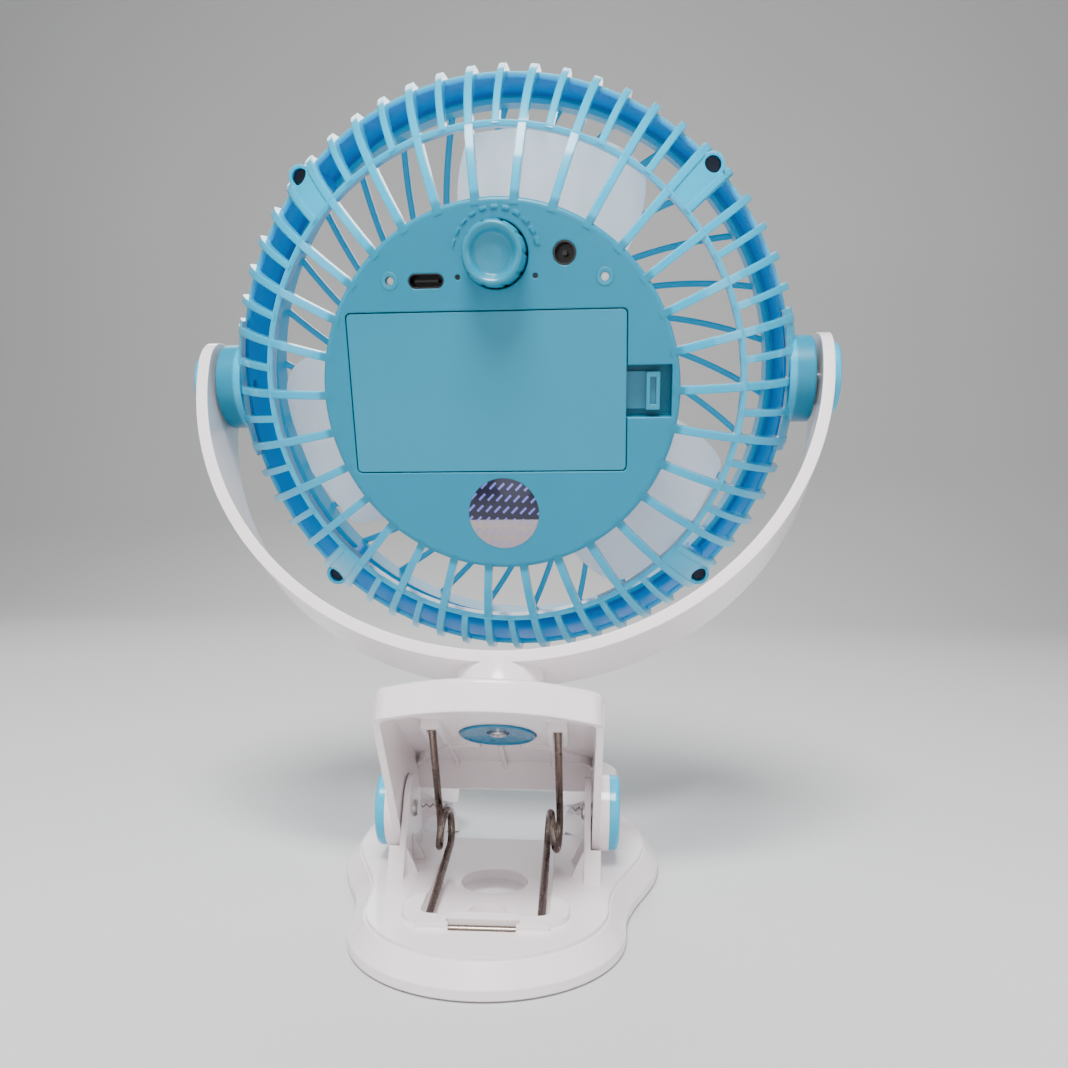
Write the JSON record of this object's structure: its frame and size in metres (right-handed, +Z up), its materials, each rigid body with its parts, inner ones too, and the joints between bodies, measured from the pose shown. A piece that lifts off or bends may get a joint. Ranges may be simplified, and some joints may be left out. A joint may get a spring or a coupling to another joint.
{
  "type": "clip fan",
  "caption": "Rechargeable clip fan: a caged fan head tilts in a U yoke that swivels on a spring clip; round cage, swirl grille, speed knob and a hinged battery door at the back",
  "frame": {"origin": "on the underside of the clip's rubber sole, below the hinge axis, in the clip's plane of symmetry", "axes": "+Z up, +Y towards the squeeze handle and the back of the head, X along the hinge; the fan blows towards -Y"},
  "size_m": [0.2066, 0.1622, 0.245],
  "materials": {
    "blue_plastic": "semi-gloss sky-blue moulded ABS",
    "white_plastic": "polished white ABS",
    "blade_plastic": "polished milky white polypropylene",
    "sole_rubber": "matt grey rubber",
    "spring_steel": "drawn spring wire, brownish",
    "screw_steel": "zinc-plated steel",
    "black_plastic": "matt black plastic",
    "board": "green solder mask",
    "cell_wrap": "shrink-wrapped cell",
    "led_lens": "smoked clear lens, unlit"
  },
  "bodies": {
    "base": {"clip_base": "white_plastic", "clip_sole": "sole_rubber", "clip_spring": "spring_steel"},
    "lever": {"clip_lever": "white_plastic", "hinge_pins": "screw_steel", "hinge_caps": "blue_plastic"},
    "yoke": {"yoke": "white_plastic", "swivel_washer": "blue_plastic", "swivel_screw": "screw_steel", "yoke_caps": "blue_plastic"},
    "head": {"rear_housing": "blue_plastic", "front_grille": "blue_plastic", "grille_cap": "blue_plastic", "motor_plate": "blue_plastic", "motor_case": "screw_steel", "battery_cells": "cell_wrap", "battery_contacts": "screw_steel", "control_board": "board", "usb_socket": "screw_steel", "dc_socket": "black_plastic", "speed_control": "black_plastic", "charge_leds": "led_lens", "housing_screws": "screw_steel", "grille_screws": "screw_steel", "tilt_screws": "screw_steel", "tilt_washers": "black_plastic"},
    "rotor": {"fan_blade": "blade_plastic", "motor_shaft": "screw_steel"},
    "knob": {"speed_knob": "blue_plastic"},
    "door": {"battery_door": "blue_plastic"}
  },
  "joints": [
    {"name": "clip_open", "type": "hinge", "parent": "base", "child": "lever", "pos_m": [0, 0, 0.0239], "axis": [-1, 0, 0], "range_deg": [0, 30], "stiffness_Nm_per_rad": 1.5, "springref_deg": -20.05, "deforming": ["clip_spring"]},
    {"name": "yoke_swivel", "type": "hinge", "parent": "lever", "child": "yoke", "pos_m": [0, 0.0072, 0.0488], "axis": [0, -0.4587, 0.8886], "continuous": true},
    {"name": "head_tilt", "type": "hinge", "parent": "yoke", "child": "head", "pos_m": [0, -0.04701, 0.15383], "axis": [0.9992, -0.0357, -0.0184], "continuous": true},
    {"name": "blade_spin", "type": "hinge", "parent": "head", "child": "rotor", "pos_m": [0, -0.04701, 0.15383], "axis": [0.0315, 0.9814, -0.1894], "continuous": true},
    {"name": "knob_turn", "type": "hinge", "parent": "head", "child": "knob", "pos_m": [0.00092, -0.03999, 0.19035], "axis": [-0.0315, -0.9814, 0.1894], "range_deg": [0, 150]},
    {"name": "door_swing", "type": "hinge", "parent": "head", "child": "door", "pos_m": [0.0449, -0.01, 0.14559], "axis": [-0.0248, -0.1887, -0.9817], "range_deg": [0, 75]}
  ]
}
